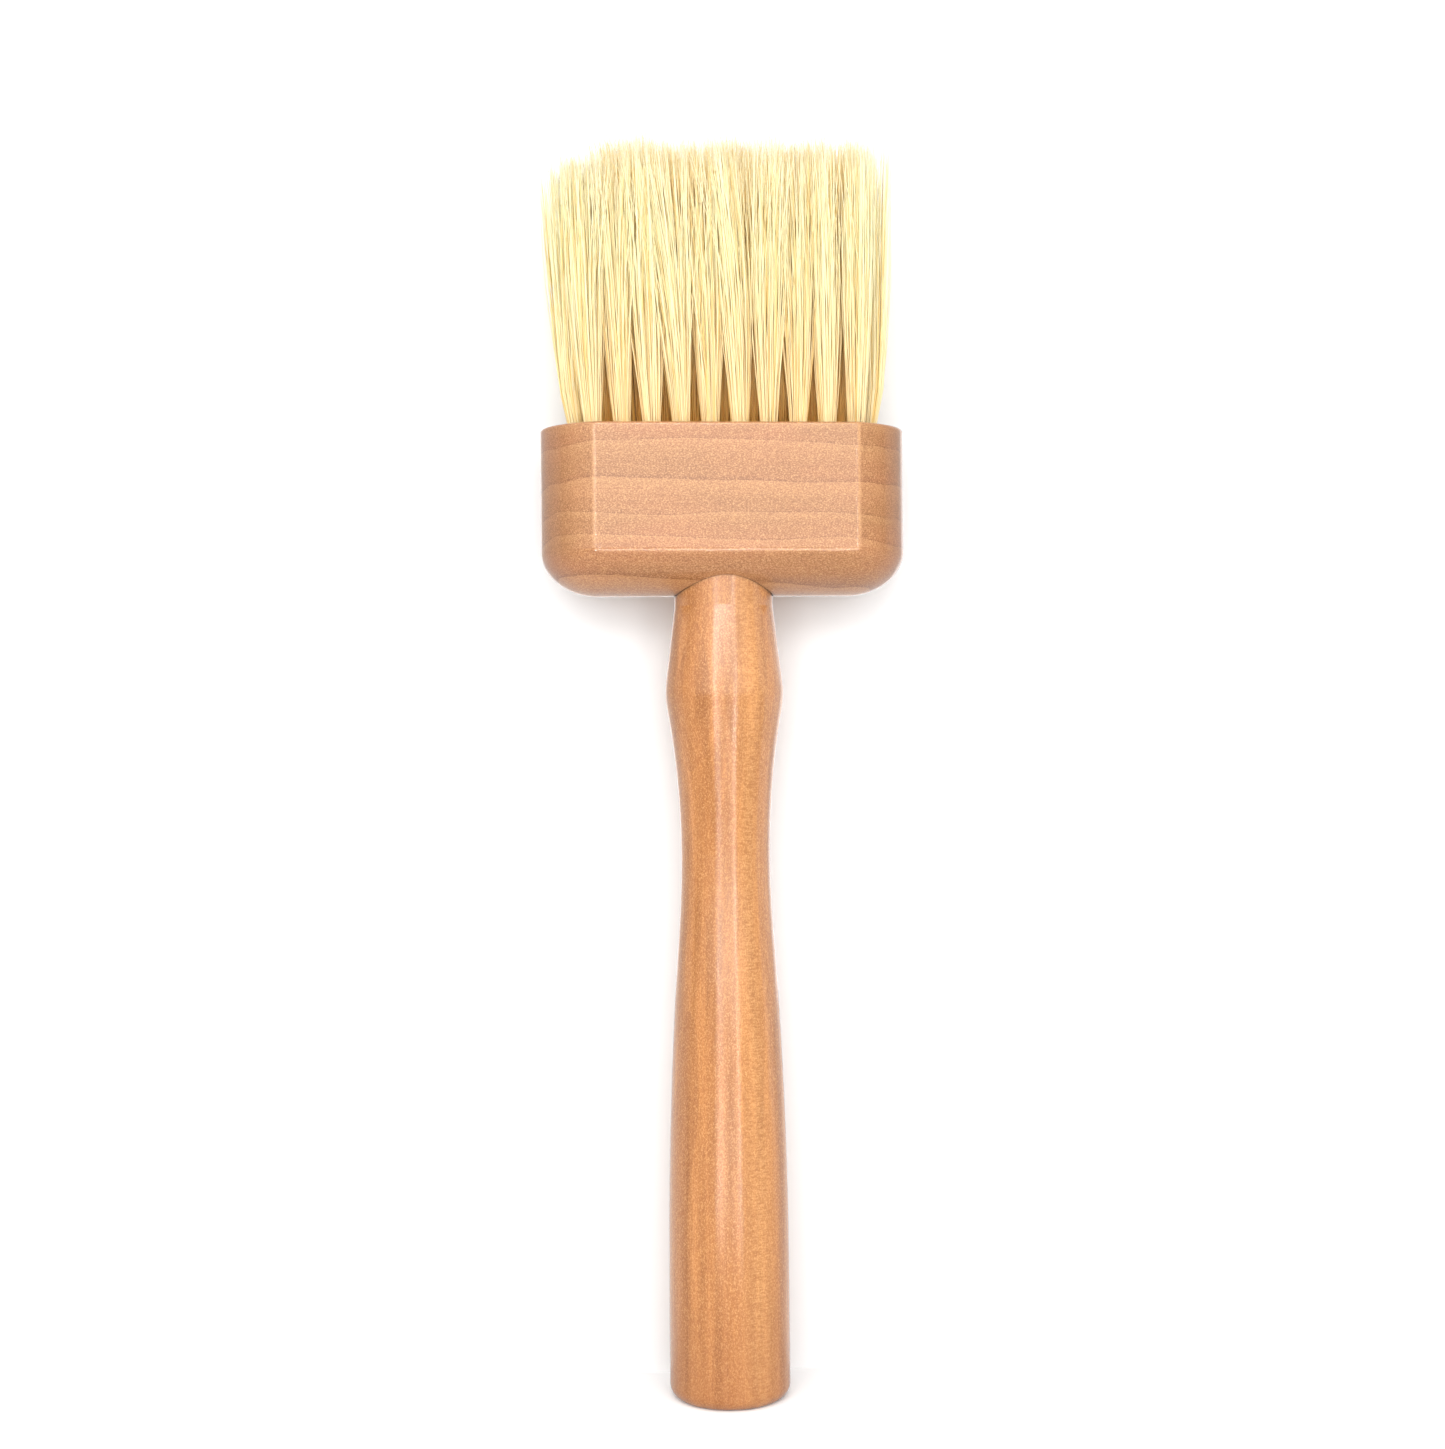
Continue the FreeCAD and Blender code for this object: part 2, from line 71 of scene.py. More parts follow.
# ---------------------------------------------------------------------------------------------------------
# Node helpers
# ---------------------------------------------------------------------------------------------------------
class Graph:
    """The node tree of a new material or world, and short calls that add nodes to it."""

    def __init__(self, owner, output="OutputMaterial"):
        owner.use_nodes = True
        self.owner = owner
        self.tree = owner.node_tree
        self.tree.nodes.clear()
        self.output = self.add(output)

    def add(self, kind, inputs=None, **settings):
        """Adds a node. An input's value may be another node's output, which is then linked."""
        node = self.tree.nodes.new(f"ShaderNode{kind}")
        for key, value in settings.items():
            setattr(node, key, value)
        for key, value in (inputs or {}).items():
            if isinstance(value, bpy.types.NodeSocket):
                self.tree.links.new(value, node.inputs[key])
            else:
                node.inputs[key].default_value = value
        return node

    def math(self, operation, first, second=0.0, third=0.0):
        return self.add("Math", {0: first, 1: second, 2: third}, operation=operation).outputs[0]

    def vector(self, operation, first, second=(0, 0, 0)):
        return self.add("VectorMath", {0: first, 1: second}, operation=operation).outputs[0]

    def dot(self, first, second):
        return self.add("VectorMath", {0: first, 1: second}, operation="DOT_PRODUCT").outputs["Value"]

    def scaled(self, place, factors):
        return self.vector("MULTIPLY", place, factors)

    def noise(self, place, scale=1.0, detail=2.0, roughness=0.5):
        """Smooth noise, from 0 to 1, whose features are about 1/scale wide."""
        inputs = {"Vector": place, "Scale": scale, "Detail": detail, "Roughness": roughness}
        return self.add("TexNoise", inputs).outputs["Fac"]

    def spread(self, value, low, high):
        """Stretches low..high to 0..1 and clamps it."""
        node = self.add("MapRange", {"Value": value, "From Min": low, "From Max": high})
        return node.outputs["Result"]

    def mix(self, amount, first, second):
        """Mixes two colours, each a socket or an (r, g, b)."""
        first, second = (colour if isinstance(colour, bpy.types.NodeSocket) else (*colour, 1.0)
                         for colour in (first, second))
        return self.add("Mix", {0: amount, 6: first, 7: second}, data_type="RGBA").outputs[2]

    def tint(self, colour, towards, where, share):
        """Moves a colour this share of the way towards another where the mask is 1, and less below."""
        return self.mix(self.math("MULTIPLY", where, share), colour, towards)

    def place_mm(self):
        """The point's place in the object, in millimetres."""
        return self.scaled(self.add("TexCoord").outputs["Object"], (1 / MM,) * 3)

    def finish(self, shader):
        """Shows this shader, and returns the material or world."""
        self.tree.links.new(shader.outputs[0], self.output.inputs["Surface"])
        return self.owner


# ---------------------------------------------------------------------------------------------------------
# Materials. The lengths in these functions are millimetres, because place_mm() is.
# ---------------------------------------------------------------------------------------------------------
HEAD_PINK = (0.330, 0.129, 0.049)
HEAD_TAN = (0.282, 0.121, 0.040)
HEAD_LINE = (0.158, 0.052, 0.017)
HEAD_PALE = (0.550, 0.290, 0.120)
HANDLE_TAN = (0.300, 0.107, 0.021)
HANDLE_ORANGE = (0.470, 0.187, 0.051)
HANDLE_LINE = (0.210, 0.065, 0.016)
HANDLE_PALE = (0.660, 0.340, 0.122)
# The next colour is painted shade, for seams and narrow hollows.
SEAM_SHADE = (0.05, 0.020, 0.008)
HAIR_ROOT = (0.960, 0.840, 0.520)
HAIR_MIDDLE = (0.965, 0.922, 0.660)
HAIR_TIP = (0.975, 0.940, 0.735)
HAIR_GOLD = (0.900, 0.660, 0.210)
HAIR_DEEP_SHADE = (0.800, 0.400, 0.050)
HAIR_DARK = (0.24, 0.12, 0.04)
WIRE_DULL = (0.42, 0.41, 0.39)
WIRE_BRIGHT = (0.66, 0.65, 0.62)

# How close another surface must be for the painted shade in seams and hollows.
SEAM_SHADE_REACH = 0.9 * MM
BOARD_DEPTH = (-0.016, -0.20, -1.0)  # across the head's growth layers, which lie nearly level
HANDLE_ACROSS = (0.90, 0.44, 0.0)  # across the handle's growth layers
DARKER_ENDS = (28.5, 32.5)  # the head darkens between these distances from its middle
DARKER_BUTT = (24.0, 2.0)  # and the handle between these heights
INSIDE_SHADE_DEPTH = (10.5, 6.0)  # front to back, painted shade: a strand nearer the middle than the second is deep in the brush
INSIDE_SHADE_WIDTH = (27.5, 22.5)  # and the same from side to side
DARK_HAIRS = 0.008  # the share of strands that are dark
HAIR_PASSING = 0.60  # the share of light that goes straight on past a strand


def ring_place(graph, layer, axis, rings_per_mm, changes_per_mm, unevenness):
    """How far through its growth ring a point is, from 0 to 1, where the rings' width varies."""
    along = graph.add("CombineXYZ", {axis: layer}).outputs[0]
    uneven = graph.math("MULTIPLY", graph.noise(along, scale=changes_per_mm, detail=1), unevenness)
    return graph.math("FRACT", graph.math("MULTIPLY_ADD", layer, rings_per_mm, uneven))


def pores(graph, colour, speckle, pale, pale_share, dark, dark_share):
    """Pale specks where the noise is high, and dark ones where it is low."""
    colour = graph.tint(colour, pale, graph.spread(speckle, 0.50, 0.64), pale_share)
    return graph.tint(colour, dark, graph.spread(speckle, 0.49, 0.36), dark_share)


def lacquered_wood(graph, colour, fine_relief):
    """Clear gloss lacquer over wood of this colour, with painted shade, found by ambient occlusion, in the
    seam where two parts meet and in other narrow hollows. The butt only stands on the floor, so there is no
    seam there."""
    # Painted shade: the wood is darkened where ambient occlusion finds other surfaces close by.
    openness = graph.add("AmbientOcclusion", {"Distance": SEAM_SHADE_REACH}, samples=6).outputs["AO"]
    above_floor = graph.spread(graph.dot(graph.place_mm(), (0, 0, 1)), 1.5, 3.0)
    colour = graph.tint(colour, SEAM_SHADE, graph.spread(openness, 0.85, 0.50), above_floor)
    bump = graph.add("Bump", {"Strength": 0.12, "Distance": 0.02 * MM, "Height": fine_relief})
    return graph.finish(graph.add("BsdfPrincipled", {
        "Base Color": colour, "Roughness": 0.5, "Specular IOR Level": 0.1, "Normal": bump.outputs[0],
        "Coat Weight": 0.9, "Coat Roughness": 0.14, "Coat IOR": 1.62}))


def head_wood():
    """Pinkish tan with mottled pores. Thin dark growth lines run nearly level along X, each with paler wood
    under it, and dip towards the ends of the head, where the surface cuts deeper into the board."""
    graph = Graph(bpy.data.materials.new("head_wood"))
    place = graph.place_mm()
    warp = graph.noise(graph.scaled(place, (0.018, 0.05, 0.05)), detail=2)
    layer = graph.math("MULTIPLY_ADD", warp, 6.0, graph.dot(place, BOARD_DEPTH))
    ring = ring_place(graph, layer, "Z", rings_per_mm=0.17, changes_per_mm=0.11, unevenness=1.8)
    fibre = graph.noise(graph.scaled(place, (0.10, 2.2, 2.2)), detail=3, roughness=0.6)
    speckle = graph.noise(graph.scaled(place, (3.2, 4.6, 4.6)), detail=2, roughness=0.8)
    cloud = graph.noise(graph.scaled(place, (0.03, 0.06, 0.09)), detail=3)

    colour = graph.mix(graph.spread(cloud, 0.38, 0.62), HEAD_PINK, HEAD_TAN)
    colour = graph.tint(colour, HEAD_PALE, graph.spread(ring, 0.45, 0.0), 0.28)
    colour = graph.tint(colour, HEAD_LINE, graph.math("POWER", ring, 16.0), 0.60)
    colour = graph.tint(colour, HEAD_LINE, graph.spread(fibre, 0.40, 0.70), 0.20)
    colour = pores(graph, colour, speckle, HEAD_PALE, 0.64, HEAD_LINE, 0.54)

    # The head is darker towards its two ends.
    reach = graph.math("ABSOLUTE", graph.dot(place, (1, 0, 0)))
    colour = graph.tint(colour, HEAD_LINE, graph.spread(reach, *DARKER_ENDS), 0.32)

    # A painted highlight: the softened creases round the panels, found by how the surface turns, are painted
    # a little paler, for the bright line that their lacquer catches.
    facing = graph.math("ABSOLUTE", graph.dot(graph.add("NewGeometry").outputs["Normal"], (0, 1, 0)))
    crease_highlight = graph.math("MULTIPLY", graph.spread(facing, 0.998, 0.985), graph.spread(facing, 0.940, 0.965))
    crease_highlight = graph.math("MULTIPLY", crease_highlight, graph.spread(cloud, 0.25, 0.65))
    colour = graph.tint(colour, HEAD_PALE, crease_highlight, 0.36)
    return lacquered_wood(graph, colour, speckle)


def handle_wood():
    """Orange tan, with soft streaks along Z and, where the rays are cut across, a rippled fleck."""
    graph = Graph(bpy.data.materials.new("handle_wood"))
    place = graph.place_mm()
    wander = graph.noise(graph.scaled(place, (0.05, 0.05, 0.010)), detail=2)
    layer = graph.math("MULTIPLY_ADD", wander, 16.0, graph.dot(place, HANDLE_ACROSS))
    ring = ring_place(graph, layer, "X", rings_per_mm=0.16, changes_per_mm=0.25, unevenness=1.0)
    streak = graph.noise(graph.scaled(place, (0.38, 0.38, 0.012)), detail=3, roughness=0.6)
    fibre = graph.noise(graph.scaled(place, (3.0, 3.0, 0.16)), detail=3, roughness=0.6)
    speckle = graph.noise(graph.scaled(place, (4.2, 4.2, 2.6)), detail=2, roughness=0.8)

    colour = graph.mix(graph.spread(streak, 0.36, 0.62), HANDLE_TAN, HANDLE_ORANGE)
    colour = graph.tint(colour, HANDLE_LINE, graph.math("POWER", ring, 3.0), 0.35)
    colour = graph.tint(colour, HANDLE_LINE, graph.spread(fibre, 0.40, 0.70), 0.36)
    colour = pores(graph, colour, speckle, HANDLE_PALE, 0.48, HANDLE_LINE, 0.45)

    # Ray fleck: short level ripples on the two strips of surface that run square to the growth layers.
    outward = graph.vector("NORMALIZE", graph.scaled(place, (1, 1, 0)))
    off_ray = graph.math("ABSOLUTE", graph.dot(outward, HANDLE_ACROSS))
    on_ray = graph.spread(off_ray, 0.42, 0.05)
    ripple = graph.noise(graph.scaled(place, (0.8, 0.8, 3.2)), detail=2, roughness=0.55)
    crest = graph.math("MULTIPLY", on_ray, graph.spread(ripple, 0.48, 0.62))
    trough = graph.math("MULTIPLY", on_ray, graph.spread(ripple, 0.46, 0.34))
    colour = graph.tint(colour, HANDLE_PALE, on_ray, 0.20)
    colour = graph.tint(colour, HANDLE_PALE, crest, 0.25)
    colour = graph.tint(colour, HANDLE_LINE, trough, 0.30)

    # The handle is darker towards the butt.
    height = graph.dot(place, (0, 0, 1))
    colour = graph.tint(colour, HANDLE_LINE, graph.spread(height, *DARKER_BUTT), 0.30)
    return lacquered_wood(graph, colour, speckle)


def bristle():
    """Cream hair, each strand its own tone, with painted shade: golden deep in the brush, and a deeper gold
    low down, for light that has passed through other strands. The "strand" map holds the strand's tone in U
    and the way along it in V."""
    graph = Graph(bpy.data.materials.new("bristle"))
    strand = graph.add("SeparateXYZ", {0: graph.add("UVMap", uv_map="strand").outputs["UV"]})
    tone, along = strand.outputs["X"], strand.outputs["Y"]
    place = graph.add("SeparateXYZ", {0: graph.place_mm()})
    inside_shade = graph.math("MULTIPLY",
                        graph.spread(graph.math("ABSOLUTE", place.outputs["Y"]), *INSIDE_SHADE_DEPTH),
                        graph.spread(graph.math("ABSOLUTE", place.outputs["X"]), *INSIDE_SHADE_WIDTH))
    low_inside_shade = graph.math("MULTIPLY", inside_shade, graph.spread(along, 0.45, 0.0))

    colour = graph.mix(graph.spread(along, 0.0, 0.60), HAIR_ROOT, HAIR_MIDDLE)
    colour = graph.mix(graph.spread(along, 0.65, 1.0), colour, HAIR_TIP)
    colour = graph.tint(colour, HAIR_GOLD, graph.spread(tone, 0.24, 0.10), 0.7)
    # Painted shade: strands deep in the brush are tinted golden, and low down a deeper gold, for light that
    # has passed through other strands.
    colour = graph.tint(colour, HAIR_GOLD, inside_shade, 0.60)
    colour = graph.tint(colour, HAIR_DEEP_SHADE, low_inside_shade, 0.8)
    colour = graph.tint(colour, HAIR_DARK, graph.math("LESS_THAN", tone, DARK_HAIRS), 0.85)

    # Bristles are translucent: they glow when lit from behind, and some light goes straight on past each one.
    surface = graph.add("BsdfPrincipled", {
        "Base Color": colour, "Roughness": 0.38, "Specular IOR Level": 0.25})
    glow = graph.add("BsdfTranslucent", {"Color": colour})
    hair = graph.add("MixShader", {0: 0.3, 1: surface.outputs[0], 2: glow.outputs[0]})
    passing = graph.math("MULTIPLY", graph.add("LightPath").outputs["Is Shadow Ray"], HAIR_PASSING)
    clear = graph.add("BsdfTransparent")
    return graph.finish(graph.add("MixShader", {0: passing, 1: hair.outputs[0], 2: clear.outputs[0]}))


def anchor_wire():
    """Flat drawn steel wire, with fine lines along the strip."""
    graph = Graph(bpy.data.materials.new("anchor_wire"))
    lines = graph.noise(graph.scaled(graph.place_mm(), (0.4, 9.0, 9.0)), detail=3)
    colour = graph.mix(graph.spread(lines, 0.3, 0.7), WIRE_DULL, WIRE_BRIGHT)
    roughness = graph.math("MULTIPLY_ADD", lines, 0.25, 0.25)
    return graph.finish(graph.add("BsdfPrincipled", {
        "Base Color": colour, "Metallic": 1.0, "Roughness": roughness}))


def dress(node_names, material):
    """Gives CAD nodes this material all over."""
    for name in node_names:
        for slot in nodes[name].material_slots:
            slot.material = material


dress(["head_block"], head_wood())
dress(["handle"], handle_wood())
dress(anchor_nodes, anchor_wire())
bristle_material = bristle()


# ---------------------------------------------------------------------------------------------------------
# Bristles: each tuft is a bundle of separate strands, set in its hole and spreading above the head. A slope
# is sideways over up. A side is a place from -1, the head's left end, to 1, its right end.
# ---------------------------------------------------------------------------------------------------------
FIRST_SEED = 1000
STRANDS = 190
RINGS = 9  # cross-sections along a strand
SIDES = 3
ROOT_RADIUS = 0.100 * MM
TIP_RADIUS = 0.050 * MM
TAPER = 1.5  # above 1, a strand narrows mostly towards its tip
POINT_RADIUS = 0.018 * MM  # a strand narrows to this at its very end
ROOT_DEPTH = 7.3 * MM  # the strands start this far down the hole, just above the anchor
GOLDEN_ANGLE = math.pi * (3 - math.sqrt(5))
UNEVEN_TURN = 0.2  # how unevenly, in radians, the strands are packed round the tuft

# How far up the strands go.
LEFT_STEP = 3.6 * MM  # the bristles at the left end are this much shorter
LEFT_STEP_SIDES = (-0.50, -0.60)
RIGHT_FALL = 1.6 * MM
RIGHT_FALL_SIDES = (0.70, 0.90)
TUFT_RAGGEDNESS = 0.4 * MM
RAGGEDNESS = 1.6 * MM
PROUD = 0.6 * MM  # a tuft's longest strands pass the brush's outline by this much
SHORT_SHARE = 0.08  # this share of the strands is shorter, by up to SHORTEST
SHORTEST = 16 * MM

# How they spread.
FAN_MIDDLE = -0.018  # sideways slope of the middle tufts
FAN_SIDES = 0.050  # and how much it grows from the middle to the ends
LEAN_VARIES = (0.010, 0.008)  # how much the tufts' own slopes vary, sideways and front to back
FLARE = 2.6 * MM  # how much further out an outermost strand ends up than where it started
FLARE_VARIES = 0.12
FLARE_HEIGHT = 34 * MM  # the flare happens mostly within this height
BULGE = 1.1 * MM  # how far the end tufts of each row belly out just above the wood
BULGE_HEIGHT = 2.5 * MM
BULGE_SIDES = (0.70, 0.85)

# How they stray and draw together.
LOCKS = 7
LOCKS_SPREAD = 0.55  # how far out in the tuft the locks' middles lie, as a share of its radius
LOCK_PULL = 0.35  # how far the tips draw towards the middle of their lock
STRAND_STRAY = 0.022  # how much the strands' slopes vary
LOCK_STRAY = 0.032  # and the locks'
WILD_SHARE = 0.10  # this share of the strands strays WILD_STRAY times as far
WILD_STRAY = 2.2
END_HOLD = 0.85  # the share of its outward slope that a strand loses near the two ends of the head
END_HOLD_SIDES = (0.45, 0.75)
FACE_STRAY = 0.6  # the share of it that a strand keeps towards the front or back
BOW = 0.40 * MM
RIPPLE = 0.12 * MM


def tuft_axis(name):
    """Where a tuft leaves the head, its radius there, and where its axis ends, from its CAD solid."""
    mesh = nodes[name].data
    points = np.empty(len(mesh.vertices) * 3, np.float32)
    mesh.vertices.foreach_get("co", points)
    points = points.reshape(-1, 3)
    root = points[points[:, 2] < HEAD_TOP - MM]
    tip = points[points[:, 2] > points[:, 2].max() - MM]
    low, high = root.min(0), root.max(0)
    start = (low + high) / 2
    start[2] = HEAD_TOP
    return start, (high[1] - low[1]) / 2, (tip.min(0) + tip.max(0)) / 2


def smooth(low, high, value):
    """0 at low and 1 at high, easing in and out."""
    t = min(max((value - low) / (high - low), 0.0), 1.0)
    return t * t * (3 - 2 * t)


def strand_lengths(random, side, free):
    """How far above the head each strand of one tuft ends: the brush's outline, with a soft ragged edge."""
    free = free - LEFT_STEP * smooth(*LEFT_STEP_SIDES, side) - RIGHT_FALL * smooth(*RIGHT_FALL_SIDES, side)
    length = free + random.normal(0, TUFT_RAGGEDNESS) + PROUD - np.abs(random.normal(0, RAGGEDNESS, STRANDS))
    short = random.random(STRANDS) < SHORT_SHARE
    return np.where(short, length - random.uniform(0, SHORTEST, STRANDS), length)


def strand_spines(random, start, radius, end):
    """The middle line of every strand of one tuft, as points[strand, ring]."""
    side = start[0] / HEAD_HALF
    order = np.arange(STRANDS)
    turn = order * GOLDEN_ANGLE + random.uniform(0, 2 * math.pi) + random.normal(0, UNEVEN_TURN, STRANDS)
    out = np.sqrt((order + 0.5) / STRANDS)
    disc = np.stack([np.cos(turn), np.sin(turn)], 1) * out[:, None]
    length = strand_lengths(random, side, end[2] - HEAD_TOP)

    # Sideways: the whole tuft leans, its strands flare and stray, and draw together into a few locks.
    lean = np.array([FAN_MIDDLE + FAN_SIDES * side, 0.0]) + random.normal(0, LEAN_VARIES)
    flare = FLARE * random.normal(1.0, FLARE_VARIES)
    locks = random.normal(0, LOCKS_SPREAD, (LOCKS, 2))
    nearest = np.argmin(((disc[:, None, :] - locks[None]) ** 2).sum(2), 1)
    slope = (random.normal(0, STRAND_STRAY, (STRANDS, 2))
             + random.normal(0, LOCK_STRAY, (LOCKS, 2))[nearest])
    wild = random.random(STRANDS) < WILD_SHARE
    slope[wild] *= WILD_STRAY
    held_in = np.where(slope[:, 0] * side > 0, END_HOLD * smooth(*END_HOLD_SIDES, abs(side)), 0.0)
    slope[:, 0] *= 1 - held_in
    slope[:, 1] *= np.where(slope[:, 1] * start[1] > 0, FACE_STRAY, 1.0)
    bulge = math.copysign(BULGE, side) * smooth(*BULGE_SIDES, abs(side))
    bow = random.normal(0, BOW, (STRANDS, 2))
    ripple = random.normal(0, RIPPLE, (STRANDS, 2))

    # The first ring is down in the hole and the second is where the strand leaves it.
    way = np.concatenate([[0.0], np.linspace(0, 1, RINGS - 1)])
    spines = np.empty((STRANDS, RINGS, 3))
    for ring, t in enumerate(way):
        up = length * t
        loosened = 1 - np.exp(-up / FLARE_HEIGHT)
        gather = LOCK_PULL * t * t
        pattern = disc * (1 - gather) + locks[nearest] * gather
        across = disc * (radius - ROOT_RADIUS) + pattern * (flare * loosened)[:, None]
        across += (lean + slope * t) * up[:, None]
        across += bow * math.sin(math.pi * t) ** 2 + ripple * math.sin(2 * math.pi * t)
        across[:, 0] += bulge * (1 - t) * (1 - np.exp(-up / BULGE_HEIGHT))
        spines[:, ring, :2] = start[:2] + across
        spines[:, ring, 2] = HEAD_TOP + up
    spines[:, 0, 2] = HEAD_TOP - ROOT_DEPTH
    return spines


def add_map(mesh, name, places):
    """Adds a UV map that gives every face corner of the mesh its place."""
    layer = mesh.uv_layers.new(name=name)
    layer.data.foreach_set("uv", places.astype(np.float32).ravel())


def column_map(count):
    """A map for colours to be baked in, where each strand has a column of its own, with its sides next to
    each other and the same places in the column as along the strand."""
    first_side, side_width, lowest, highest = 0.1, 0.27, 0.01, 0.99
    left = (np.arange(count)[:, None] + first_side + side_width * np.arange(SIDES)) / count
    right = left + side_width / count
    level = np.linspace(lowest, highest, RINGS)
    low, high = np.broadcast_arrays(level[None, :-1, None], level[None, 1:, None])
    left, right, low, high = np.broadcast_arrays(left[:, None, :], right[:, None, :], low, high)
    walls = np.stack([np.stack([left, low], 3), np.stack([right, low], 3),
                      np.stack([right, high], 3), np.stack([left, high], 3)], 3)
    ends = np.repeat((np.arange(count) + 0.5) / count, SIDES)
    roots = np.stack([ends, np.full_like(ends, lowest)], 1)
    tips = np.stack([ends, np.full_like(ends, highest)], 1)
    return np.concatenate([walls.reshape(-1, 2), roots, tips])


def strand_piece(name, random, spines):
    """Closed three-sided tapering tubes along the spines, with two maps: "strand", which the material reads,
    and "OFBake", the column map."""
    count = len(spines)
    along = np.clip((spines[:, :, 2] - HEAD_TOP) / (BRISTLE_TOP - HEAD_TOP), 0, 1)
    radius = ROOT_RADIUS + (TIP_RADIUS - ROOT_RADIUS) * along ** TAPER
    radius[:, -1] = POINT_RADIUS
    angle = random.uniform(0, 2 * math.pi, count)[:, None] + np.arange(SIDES) * 2 * math.pi / SIDES
    offset = np.stack([np.cos(angle), np.sin(angle), np.zeros_like(angle)], 2)
    points = spines[:, :, None, :] + radius[:, :, None, None] * offset[:, None, :, :]

    corner = np.arange(count * RINGS * SIDES).reshape(count, RINGS, SIDES)
    after = np.roll(corner, -1, axis=2)
    walls = np.stack([corner[:, :-1], after[:, :-1], after[:, 1:], corner[:, 1:]], 3).reshape(-1, 4)
    roots, tips = corner[:, 0, ::-1], corner[:, -1]
    mesh = bpy.data.meshes.new(name)
    mesh.from_pydata(points.reshape(-1, 3).tolist(), [], walls.tolist() + roots.tolist() + tips.tolist())
    mesh.shade_smooth()
    mesh.materials.append(bristle_material)

    tone = np.broadcast_to(random.random(count)[:, None, None], corner.shape)
    height = np.broadcast_to(along[:, :, None], corner.shape)
    face_corners = np.concatenate([walls.ravel(), roots.ravel(), tips.ravel()])
    add_map(mesh, "strand", np.stack([tone, height], 3).reshape(-1, 2)[face_corners])
    add_map(mesh, "OFBake", column_map(count))
    piece = bpy.data.objects.new(name, mesh)
    bpy.context.scene.collection.objects.link(piece)
    return piece


for seed, tuft_name in enumerate(tuft_nodes, start=FIRST_SEED):
    tuft_random = np.random.default_rng(seed)
    tuft_spines = strand_spines(tuft_random, *tuft_axis(tuft_name))
    bristles = strand_piece(tuft_name.replace("tuft", "bristles"), tuft_random, tuft_spines)
    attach(bristles, "root")
    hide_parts(tuft_name)


# ---------------------------------------------------------------------------------------------------------
# Stage: a pale floor, and a pale sheet behind the brush that is seen only from the front
# ---------------------------------------------------------------------------------------------------------
STAGE = 3.0  # how far the floor and the sheet reach each way
SHEET_GAP = 1.5 * MM  # between the head's back panel and the sheet
FLOOR_GLOW = 0.06
SHEET_MIRRORED = 0.5  # how strongly reflections show the sheet
EDGE_ON = (0.10, 0.30)  # the sheet fades in between these cosines of the angle that it is looked at


def plane(name, corners, material):
    mesh = bpy.data.meshes.new(name)
    mesh.from_pydata(corners, [], [tuple(range(4))])
    mesh.materials.append(material)
    piece = bpy.data.objects.new(name, mesh)
    bpy.context.scene.collection.objects.link(piece)
    return piece


def pale_paper():
    """Fine-grained matt paper, a little whiter to the camera than the light it gives back to the brush."""
    graph = Graph(bpy.data.materials.new("pale_paper"))
    grain = graph.noise(graph.place_mm(), scale=0.5, detail=2)
    to_camera = graph.add("LightPath").outputs["Is Camera Ray"]
    colour = graph.mix(grain, (0.76, 0.76, 0.76), (0.78, 0.78, 0.78))
    colour = graph.mix(to_camera, colour, (0.95, 0.95, 0.95))
    glow = graph.math("MULTIPLY", to_camera, FLOOR_GLOW)
    return graph.finish(graph.add("BsdfPrincipled", {
        "Base Color": colour, "Roughness": 0.9, "Specular IOR Level": 0.1, "Emission Strength": glow}))


def backdrop_paper():
    """Paper that only shows its front, to the camera and less strongly to reflections. From behind or from
    its edge, and to all other light, it is clear."""
    graph = Graph(bpy.data.materials.new("backdrop_paper"))
    path = graph.add("LightPath")
    geometry = graph.add("NewGeometry")
    squareness = graph.math("ABSOLUTE", graph.dot(geometry.outputs["Incoming"], (0, 1, 0)))
    looked_at = graph.math("MULTIPLY", path.outputs["Is Camera Ray"], graph.spread(squareness, *EDGE_ON))
    mirrored = graph.math("MULTIPLY", path.outputs["Is Glossy Ray"], SHEET_MIRRORED)
    seen = graph.math("MAXIMUM", looked_at, mirrored)
    shown = graph.math("MULTIPLY", seen, graph.math("SUBTRACT", 1.0, geometry.outputs["Backfacing"]))
    paper = graph.add("BsdfDiffuse", {"Color": (0.74, 0.74, 0.74, 1)})
    clear = graph.add("BsdfTransparent")
    return graph.finish(graph.add("MixShader", {0: shown, 1: clear.outputs[0], 2: paper.outputs[0]}))


SHEET_Y = HEAD_BACK + SHEET_GAP
floor = plane("floor", [(-STAGE, -STAGE, BUTT), (STAGE, -STAGE, BUTT), (STAGE, STAGE, BUTT),
                        (-STAGE, STAGE, BUTT)], pale_paper())
plane("backdrop", [(-STAGE, SHEET_Y, BUTT - STAGE), (STAGE, SHEET_Y, BUTT - STAGE),
                   (STAGE, SHEET_Y, STAGE), (-STAGE, SHEET_Y, STAGE)], backdrop_paper())


# ---------------------------------------------------------------------------------------------------------
# Lights
# ---------------------------------------------------------------------------------------------------------
KEY_DIRECTION = (-0.10, -0.90, 0.30)
KEY_FOCUS = 4.0
WORLD_DIM = 0.45
WORLD_KEY = 2.40


def studio_world():
    """Soft white light from everywhere, stronger towards the key direction. The camera sees plain white."""
    graph = Graph(bpy.data.worlds.new("studio"), output="OutputWorld")
    direction = graph.add("TexCoord").outputs["Generated"]
    toward_key = graph.dot(direction, Vector(KEY_DIRECTION).normalized())
    focus = graph.math("POWER", graph.math("MULTIPLY_ADD", toward_key, 0.5, 0.5), KEY_FOCUS)
    lighting = graph.math("MULTIPLY_ADD", focus, WORLD_KEY, WORLD_DIM)
    strength = graph.math("MAXIMUM", lighting, graph.add("LightPath").outputs["Is Camera Ray"])
    return graph.finish(graph.add("Background", {"Color": (1, 1, 1, 1), "Strength": strength}))


